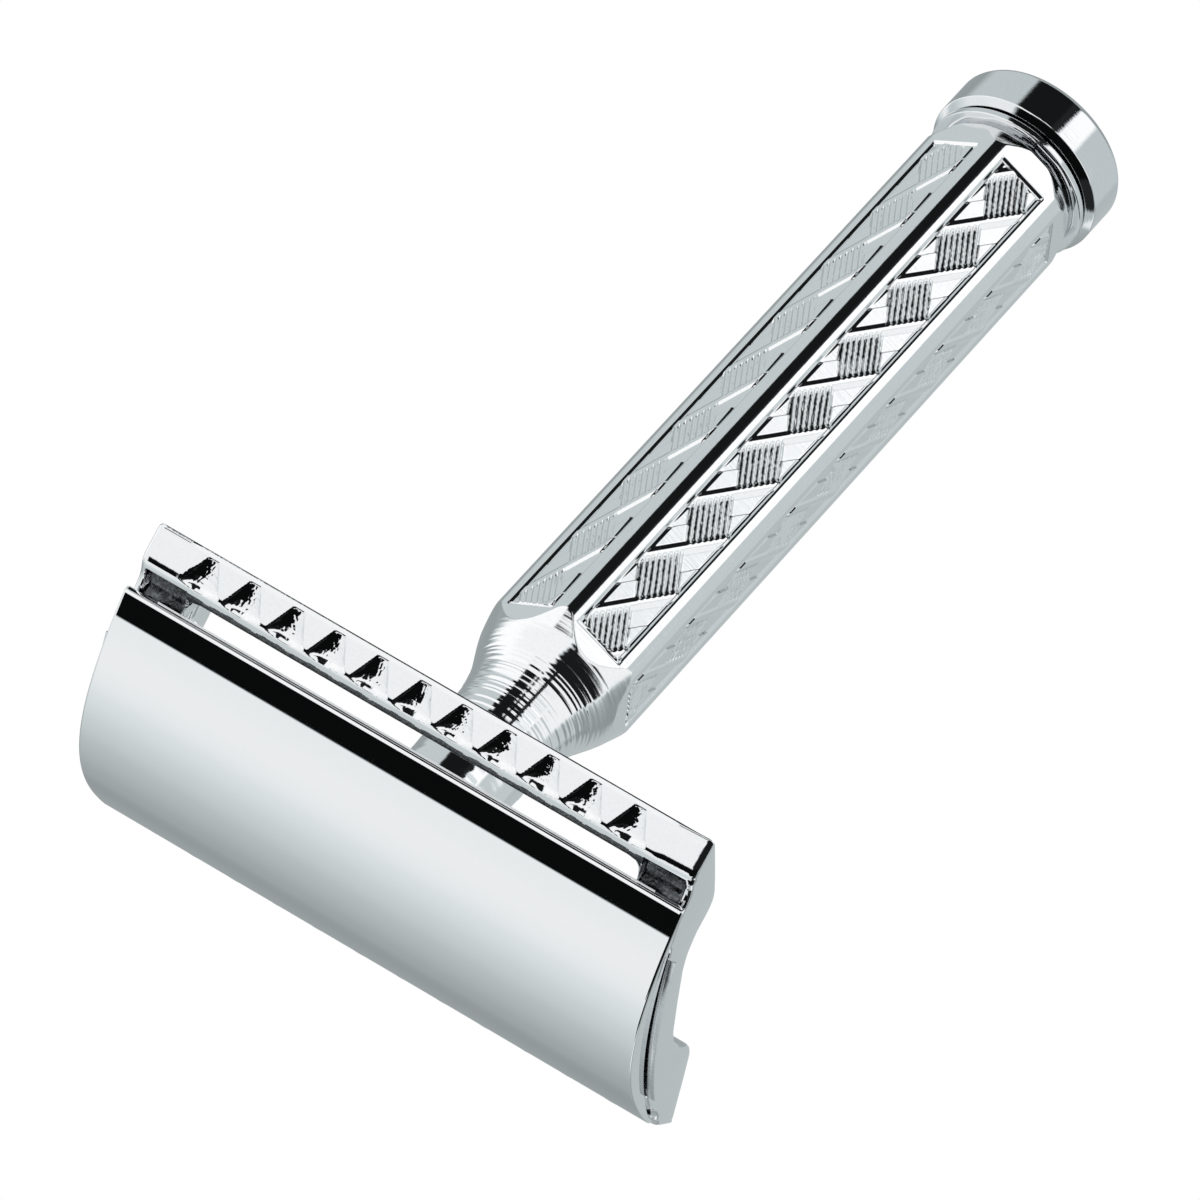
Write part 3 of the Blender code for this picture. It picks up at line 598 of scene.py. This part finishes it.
def painted_shade_faces(x, y):
    """Faces darkened as painted shade: a strip outside each slot and the four recesses."""
    out_x, out_y = np.abs(x), np.abs(y)
    strip_edge = 11.98 + 0.03 * np.sin(x * 5.1) + 0.05 * np.sin(x * 1.9635 - 0.8)
    strip = (out_x < SLOT_X + 0.15) & (out_y > SLOT_OUT) & (out_y < strip_edge)
    recess = ((out_x > SLOT_X + 0.1) & (out_x < 20.15 + 0.05 * np.sin(y * 9))
              & (out_y > 9.6) & (out_y < 11.9 + 0.05 * np.sin(x * 11)))
    return strip | recess


def base_mesh():
    """The base plate's mesh and each face's material slot."""
    x, y = base_grid()
    face_x, face_y = (x[:-1, :-1] + x[1:, 1:]) / 2, (y[:-1, :-1] + y[1:, 1:]) / 2
    keep = hole_dist(face_x, face_y) > 0
    x, y = corners_rounded(*drawn_to_holes(x, y, keep))
    top = base_top(x, y)
    low = base_low(x, y, top)
    top = top + 0.006 * wobble(x, y, 0, 1.6, 3)
    mesh = double_sheet("base", x, (y, top + HEAD_Z), (y, low + HEAD_Z), keep)
    slots = np.zeros(len(mesh.polygons), np.int32)
    # faces under the painted shade take the second, darkened material
    slots[:int(keep.sum())] = painted_shade_faces(face_x, face_y)[keep]
    return mesh, slots


mesh, material_slots = base_mesh()
base = piece("base", mesh, [CAST, PAINTED_SHADE_CHROME], "frame", ["base_plate"], sharp=48)
base.data.polygons.foreach_set("material_index", material_slots)

# boss under the base plate: (radius, z, corner rounding)
BOSS = [(3.85, 75.0, 0.05), (3.85, 73.25, 0.12), (4.7, 73.25, 0.3), (4.7, 75.4, 0),
        (2.9, 75.4, 0.05), (2.9, 75.0, 0.05)]
piece("base_boss", lathe("boss", rounded(BOSS, steps=4), 96), [CAST], "frame", [],
      sharp=35)


# ------------------------------------------------------------------ handle
HANDLE_TURN = math.radians(-118.5)        # azimuth of the first flat
GRIP_LOW, GRIP_HIGH, BORE_R = 5.45, 74.7, 2.9
FLAT_DIST, EDGE_R = 5.23, 1.4             # axis to each flat, rounding between flats
PANEL_W, PANEL_LOW, PANEL_HIGH = 3.8, 7.6, 57.85
FIELD_W = 3.52                            # full width of a hatched diamond
PANEL_FLOOR = 0.11                        # mean depth of the fields beside the ribs
RIB_PITCH, RIB_MID, RIB_LEAN = 5.87, 53.73, 1.654   # lean is height per width
OFF_FLAT = 9.0                            # across value that lies outside every panel
# the turned envelope that trims the hexagon: (z, radius)
ENVELOPE = [(5.4, 5.2), (5.45, 5.22), (6.9, 5.76), (7.4, 6.1), (56.6, 6.05), (57.4, 5.84),
            (58.0, 5.66), (58.6, 5.46), (59.2, 5.27), (59.8, 5.04), (60.4, 4.77), (61.0, 4.48),
            (61.6, 4.25), (62.4, 4.02), (63.2, 3.85), (64.6, 3.70), (66.0, 3.62), (69.2, 3.56),
            (74.7, 3.55)]
# strength of the tool marks along the handle: (z, factor)
MARK_STRENGTH = [(57.0, 0.2), (60.2, 0.3), (61.0, 1.1), (63.0, 2.2), (67.0, 2.2)]
# ridges left by the turning tool: (wavelength, height)
MARK_WAVES = [(1.9, 0.006), (0.83, 0.0045), (0.47, 0.004), (0.31, 0.003), (0.23, 0.002)]


def envelope_radius(z):
    return sum(lookup(z + 0.30 * t, ENVELOPE) for t in np.linspace(-1, 1, 7)) / 7


def tool_marks(z):
    """Fine ridges, the same all the way round."""
    draw = np.random.default_rng(5)
    total = 0.0
    for length, height in MARK_WAVES:
        for _ in range(3):
            angle = 2 * np.pi * z / (length * draw.uniform(0.85, 1.15)) + draw.uniform(0, 6.28)
            total = total + height * np.sin(angle) / 1.7
    return total


def border_groove(distance, down, back, deep):
    """Falls to deep over the width down, then climbs to the floor over the width back."""
    return np.interp(distance, [0.0, down, down + back], [0.0, deep, PANEL_FLOOR])


def hatching(across, dz, z, k):
    """Depth of the worn, slanting cuts in a diamond centred dz below z."""
    line = (across * RIB_LEAN + dz) / math.hypot(1.0, RIB_LEAN) / 0.40
    line = line + 0.10 * wobble(across * 1.3, z, k, 1.1, 90 + k)
    cut = np.interp((line + 0.2) % 1.0, [0.0, 0.34, 0.74, 0.88, 1.0],
                    [0.0, 0.0, 1.0, 0.92, 0.0])
    wear = (1.0 + 0.35 * wobble(across * 1.2, z * 0.9, 3 * k, 1.6, 70 + k)
            + 0.25 * wobble(across * 3, z * 3, k, 2.6, 30 + k))
    grain = 0.006 * wobble(across * 4, z * 4, 0, 5.0, 17 + k)
    return 0.025 + 0.095 * cut * np.clip(wear, 0.25, 1.5) + grain


def panel_depth(across, z, k):
    """How far flat k is sunk: border groove, side fields, leaning ribs and hatching."""
    from_neg, from_pos = across + PANEL_W / 2, PANEL_W / 2 - across
    from_low, from_high = z - PANEL_LOW, PANEL_HIGH - z
    from_side, from_end = np.minimum(from_neg, from_pos), np.minimum(from_low, from_high)
    # place between ribs, -0.5..0.5 with a rib at 0
    place = ((z - RIB_MID) - RIB_LEAN * across + RIB_PITCH / 2) % RIB_PITCH / RIB_PITCH - 0.5
    field = PANEL_FLOOR + 0.15 * place
    depth = field
    for distance, down, back, deep in ((from_neg, 0.26, 0.11, 0.20),
                                       (from_pos, 0.18, 0.22, 0.19)):
        groove = border_groove(distance, down, back, deep)
        groove = groove + np.interp(distance, [down, down + back], [0, 1]) * (field - PANEL_FLOOR)
        depth = np.where(distance < down + back, groove, depth)
    no_groove = 9.0
    ends = np.minimum(
        np.where(from_low < 0.34, border_groove(from_low, 0.24, 0.10, 0.17), no_groove),
        np.where(from_high < 0.35, border_groove(from_high, 0.10, 0.25, 0.19), no_groove))
    depth = np.where(ends < no_groove, ends * np.clip(from_side / 0.06, 0, 1), depth)
    # hatched diamonds between successive ribs
    first = RIB_MID + RIB_PITCH / 2
    dz = z - (first + np.round((z - first) / RIB_PITCH) * RIB_PITCH)
    diamond = np.abs(across) / (FIELD_W / 2) + np.abs(dz) / (RIB_PITCH / 2)
    within = fall(diamond, 0.95, 0.06)
    inside = (from_side > 0.30) & (from_end > 0.30)
    hatched = depth * (1 - within) + hatching(across, dz, z, k) * within
    depth = np.where(inside, hatched, depth)
    # ribs, over everything but the border
    rib_dist = place * RIB_PITCH / math.hypot(1, RIB_LEAN)
    rib = np.interp(rib_dist, [-0.42, -0.17, 0.10, 0.42], [0.0, 1.0, 1.0, 0.0])
    ribbed = depth * (1 - rib * (from_end > 0.25)) + 0.004 * rib
    depth = np.where(from_side > 0.28, ribbed, depth)
    return np.where((from_side > 0) & (from_end > 0), np.maximum(depth, 0.0), 0.0)


def sector_outline(k):
    """Plan of flat k and half of each edge beside it: xy, outward normals, place across."""
    inner = FLAT_DIST - EDGE_R
    corner_dist = inner / math.cos(math.pi / 6)
    flat_half = inner * math.tan(math.pi / 6)
    azimuth = HANDLE_TURN + k * math.pi / 3
    xy, normals, across = [], [], []

    def direction(angle):
        return np.array([math.cos(angle), math.sin(angle)])

    def edge_point(sign, share):
        normal = direction(azimuth + sign * share * math.pi / 6)
        xy.append(direction(azimuth + sign * math.pi / 6) * corner_dist + normal * EDGE_R)
        normals.append(normal)
        across.append(OFF_FLAT)

    fan = [1.0, 0.995, 0.93, 0.8, 0.65, 0.5, 0.35, 0.2, 0.08]
    normal = direction(azimuth)
    tangent = np.array([-normal[1], normal[0]])
    for share in fan:
        edge_point(-1, share)
    for u in np.linspace(-flat_half, flat_half, 68):
        xy.append(normal * FLAT_DIST + tangent * u)
        normals.append(normal)
        across.append(u)
    for share in fan[::-1]:
        edge_point(1, share)
    return np.array(xy), np.array(normals), np.array(across)


def grip_sector(k):
    """One sixth of the grip, closed along the bore and both cut faces."""
    xy, normals, across = sector_outline(k)
    heights = np.concatenate([
        [GRIP_LOW, 5.5, 5.58], np.linspace(5.7, 7.5, 22), np.linspace(7.56, 57.95, 940),
        np.linspace(58.02, 62.5, 84), np.linspace(62.6, 69.0, 90),
        np.linspace(69.2, 74.55, 24), [74.64, 74.69, GRIP_HIGH]])
    z = heights[:, None]
    hexagon = np.hypot(xy[:, 0], xy[:, 1])
    envelope = envelope_radius(z) + tool_marks(z) * lookup(z, MARK_STRENGTH)
    scale = soft_min(envelope, hexagon, 0.03) / hexagon
    depth = panel_depth(across[None, :], z, k) * rise(envelope - hexagon, -0.05, 0.05)
    lip = 0.12 * fall(z, GRIP_LOW, 0.13) + 0.12 * rise(z, 74.55, 0.15)
    depth = depth + lip + 0.0022 * wobble(xy[:, 0] * 2.3, xy[:, 1] * 2.3, z * 0.35, 1.3, 11)
    outer = np.empty(depth.shape + (3,))
    outer[..., :2] = xy * scale[..., None] - normals * depth[..., None]
    outer[..., 2] = z
    bore = xy / hexagon[:, None] * BORE_R
    inner = [np.concatenate([bore, np.full((len(xy), 1), end)], 1)[None]
             for end in (GRIP_HIGH, GRIP_LOW)]
    rows = np.concatenate([outer] + inner)
    n, m = rows.shape[:2]
    i, j = np.arange(n)[:, None], np.arange(m - 1)[None, :]
    after = (i + 1) % n
    quads = [np.stack([i * m + j, i * m + j + 1, after * m + j + 1, after * m + j],
                      -1).reshape(-1, 4)]
    verts = [rows.reshape(-1, 3)]
    # the two cut faces run from the outer edge straight to the bore
    count = len(heights)
    for col in (0, m - 1):
        edge = np.arange(count) * m + col
        top, low = count * m + col, (count + 1) * m + col
        first = sum(len(group) for group in verts)
        line = np.concatenate([np.tile(verts[0][top][:2], (count, 1)), z], 1)
        verts.append(line[1:-1])
        ids = np.concatenate([[low], first + np.arange(count - 2), [top]])
        wall = np.stack([edge[:-1], edge[1:], ids[1:], ids[:-1]], -1)
        quads.append(wall if col else wall[:, ::-1])
    return mesh_of(f"grip_{k}", np.concatenate(verts), np.concatenate(quads))


for k in range(6):
    piece(f"grip_{k + 1}", grip_sector(k), [GRIP], "frame", ["handle_grip"] if k == 0 else [],
          sharp=55)

# ------------------------------------------------------------------ ring and knob
# (radius, z, corner rounding)
RING = [(1.45, 4.65, 0.05), (5.9, 4.65, 0.12), (5.9, 5.18, 0.12), (5.35, 5.2, 0),
        (2.65, 5.2, 0.05), (2.65, 12.0, 0.2), (1.45, 12.0, 0.05)]
KNOB = [(1.42, 3.45, 0.05), (4.2, 3.45, 0.05), (4.2, 4.35, 0.06), (5.80, 4.35, 0.12),
        (6.33, 3.98, 0.16), (6.33, 1.12, 0.3), (6.1, KNOB_FACE_Z, 0.55),
        (2.2, KNOB_FACE_Z, 0.12), (2.15, 1.93, 0.05), (1.42, 1.93, 0.05)]
piece("collar_ring", lathe("ring", rounded(RING, steps=5), 192), [TURNED], "frame",
      ["lower_bushing"], sharp=35)
piece("end_knob", lathe("knob", rounded(KNOB, steps=8), 256), [TURNED], "knob", ["knob"],
      sharp=35)

# ------------------------------------------------------------------ pieces kept from the CAD
for name, material in (
        ("draw_rod", STEEL), ("threaded_socket", BRASS), ("socket_pin", STEEL),
        ("upper_bushing", BRASS), ("friction_washer", STEEL), ("tension_spring", STEEL),
        ("spring_washer", STEEL), ("retaining_clip", STEEL), ("knob_screw", STEEL)):
    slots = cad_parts[name].data.materials
    slots.clear()
    slots.append(material)


# ------------------------------------------------------------------ studio the chrome reflects
BRIGHTEST = 1.25                  # brightness that the ramps' 1.0 stands for
CARD_OPACITY = 1.0
# tent brightness around the X axis: (degrees from overhead, positive to +Y; brightness)
TENT = [(-180, 0.40), (-162, 0.46), (-150, 0.62), (-125, 0.80), (-112, 0.95), (-98, 1.02),
        (-88, 1.03), (-60, 1.06), (-42, 1.0), (-30, 1.0), (-12, 1.0), (-4.8, 0.942), (3, 0.972),
        (9, 0.968), (15, 0.94), (22, 0.87), (30, 0.80), (38, 0.72), (46, 0.665), (55, 0.583),
        (64, 0.534), (72, 0.49), (80, 0.44), (88, 0.412), (94, 0.366), (101, 0.342),
        (115, 0.318), (135, 0.42), (160, 0.40), (180, 0.40)]
# cards: azimuth, elevation, half-width, half-height (degrees), brightness, edge softness
CARDS = [
    (-12, -46, 46, 21, 0.66, 0.30),        # light grey, low at +X
    (46, -35, 26, 24, 0.38, 0.6),          # darker, beyond it towards +Y
    (-44, -10, 25, 12, 1.12, 0.3),         # white strip above, at +X -Y
    (107, -36, 26, 24, 0.56, 0.5),         # greys, low from +Y round to -X
    (165, -36, 22, 22, 0.66, 0.5),
    (-147, -28, 34, 26, 1.02, 0.3),        # bright, at -X -Y
    (-184, -46, 34, 14, 0.66, 0.25),       # grey, low at -X
    (-130, -37, 14, 9, 1.22, 0.4),         # small bright one at -X -Y, a dimmer one above
    (-126, -27.5, 14, 5, 0.84, 0.15),
    (2, 4, 34, 13, 1.15, 0.6),             # white, level at +X
    (-88, -44, 24, 20, 0.010, 0.10),       # black, low at -Y
    (-84, -14, 13.5, 12, 0.010, 0.12),     # narrower black one above it
    (-92, -12, 1.6, 9, 0.9, 0.3),          # thin bright upright on that
    (-111.5, -16, 3.0, 30, 0.02, 0.25),    # tall thin black upright
    (-141, 38, 42, 33, 0.012, 0.10),       # large black, high at -X -Y
    (153, 36, 20, 24, 0.02, 0.2),          # black, high at -X +Y
    (127, 17, 12, 9, 1.0, 0.4),            # small white at -X +Y
]
# greys slightly cool, whites neutral: (level, colour)
COOL_GREYS = [(0.0, (0.0, 0.0, 0.0)), (0.28, (0.256, 0.28, 0.286)), (0.50, (0.458, 0.50, 0.510)),
              (0.66, (0.615, 0.66, 0.672)), (0.77, (0.755, 0.77, 0.774)), (0.9, (0.9, 0.9, 0.9)),
              (1.0, (1.0, 1.0, 1.0))]

world = bpy.data.worlds.new("studio")
bpy.context.scene.world = world
world.use_nodes = True
sky = world.node_tree
sky.nodes.clear()
DIRECTION = node(sky, "TexCoord", {}).outputs["Generated"]


def calc(operation, *values, clamp=False):
    return node(sky, "Math", dict(enumerate(values)), operation=operation,
                use_clamp=clamp).outputs[0]


def dot_with(vector):
    return node(sky, "VectorMath", {0: DIRECTION, 1: vector},
                operation="DOT_PRODUCT").outputs["Value"]


def smooth_range(value, low, high):
    return node(sky, "MapRange", {"From Min": low, "From Max": high, "Value": value},
                interpolation_type="SMOOTHSTEP").outputs[0]


def color_ramp(factor, stops):
    made = node(sky, "ValToRGB", {"Fac": factor})
    elements = made.color_ramp.elements
    for element, (position, color) in zip(elements, (stops[0], stops[-1])):
        element.position, element.color = position, (*color, 1)
    for position, color in stops[1:-1]:
        elements.new(position).color = (*color, 1)
    return made.outputs["Color"]


def painted(level, mask, value):
    return node(sky, "Mix", {"Factor": mask, "A": level, "B": value},
                data_type="FLOAT").outputs["Result"]


def with_card(level, azimuth, elevation, half_width, half_height, brightness, soft):
    """Paint one soft-edged card over the studio's brightness."""
    a, e = math.radians(azimuth), math.radians(elevation)
    centre = Vector((math.cos(e) * math.cos(a), math.cos(e) * math.sin(a), math.sin(e)))
    side = Vector((-math.sin(a), math.cos(a), 0))
    up = centre.cross(side)
    ahead = dot_with(centre)
    angles = [calc("ARCTAN2", dot_with(axis), ahead) for axis in (side, up)]
    shares = [calc("ABSOLUTE", calc("DIVIDE", angle, math.radians(half)))
              for angle, half in zip(angles, (half_width, half_height))]
    masks = [smooth_range(share, 1 + soft / 2, 1 - soft / 2) for share in shares]
    mask = calc("MULTIPLY", calc("MULTIPLY", *masks), CARD_OPACITY)
    return painted(level, mask, brightness / BRIGHTEST)


def with_overhead_bar(level, dir_x, overhead):
    """Paint a black bar just to -Y of overhead, spreading past overhead at lower x."""
    towards_minus_y = calc("MULTIPLY", overhead, -1.0)
    spread = calc("MULTIPLY", calc("SUBTRACT", 0.24, dir_x), 1 / 0.14, clamp=True)
    near = calc("MULTIPLY_ADD", spread, math.radians(-20.0), math.radians(5.3))
    past_near = calc("MULTIPLY", calc("SUBTRACT", towards_minus_y, near),
                     1 / math.radians(0.35), clamp=True)
    before_far = calc("MULTIPLY", calc("SUBTRACT", math.radians(35.0), towards_minus_y),
                      1 / math.radians(3.0), clamp=True)
    mask = calc("MULTIPLY", past_near, before_far)
    mask = calc("MULTIPLY", mask, smooth_range(dir_x, low=-0.9, high=-0.8))
    mask = calc("MULTIPLY", mask, smooth_range(dir_x, low=0.42, high=0.36))
    return painted(level, mask, 0.003)


dir_x, dir_y, dir_z = (dot_with(axis) for axis in ((1, 0, 0), (0, 1, 0), (0, 0, 1)))
overhead = calc("ARCTAN2", dir_y, dir_z)
level = color_ramp(calc("MULTIPLY_ADD", overhead, 1 / (2 * math.pi), 0.5),
                   [((degrees + 180) / 360, (brightness / BRIGHTEST,) * 3)
                    for degrees, brightness in TENT])
for card in CARDS:
    level = with_card(level, *card)
level = with_overhead_bar(level, dir_x, overhead)
cool = color_ramp(level, COOL_GREYS)
scaled_color = node(sky, "VectorMath", {0: cool, "Scale": BRIGHTEST}, operation="SCALE")
studio = node(sky, "Background", {"Color": scaled_color.outputs[0]})
white = node(sky, "Background", {"Color": (1, 1, 1, 1)})
# the camera itself sees plain white
is_camera = node(sky, "LightPath", {}).outputs["Is Camera Ray"]
pick = node(sky, "MixShader", {0: is_camera, 1: studio.outputs[0], 2: white.outputs[0]})
node(sky, "OutputWorld", {"Surface": pick.outputs[0]})

# ------------------------------------------------------------------ camera and colour
# the camera's axes and place, in metres
CAMERA_RIGHT = (-0.8272668, -0.0899753, -0.5545575)
CAMERA_UP = (0.4747807, -0.6396850, -0.6044720)
CAMERA_BACK = (-0.3003546, -0.7633528, 0.5719087)
CAMERA_PLACE = (-0.235706, -0.602029, 0.501728)

scene = bpy.context.scene
lens = bpy.data.cameras.new("camera")
lens.lens = 371.186
lens.sensor_width = 36.0
lens.clip_start, lens.clip_end = 0.01, 10.0
camera = bpy.data.objects.new("camera", lens)
scene.collection.objects.link(camera)
camera.matrix_world = Matrix(((*CAMERA_RIGHT, 0), (*CAMERA_UP, 0), (*CAMERA_BACK, 0),
                              (*CAMERA_PLACE, 1))).transposed()
scene.camera = camera
scene.view_settings.view_transform = "Standard"
scene.view_settings.look = "None"
scene.cycles.max_bounces = 10
scene.cycles.glossy_bounces = 8
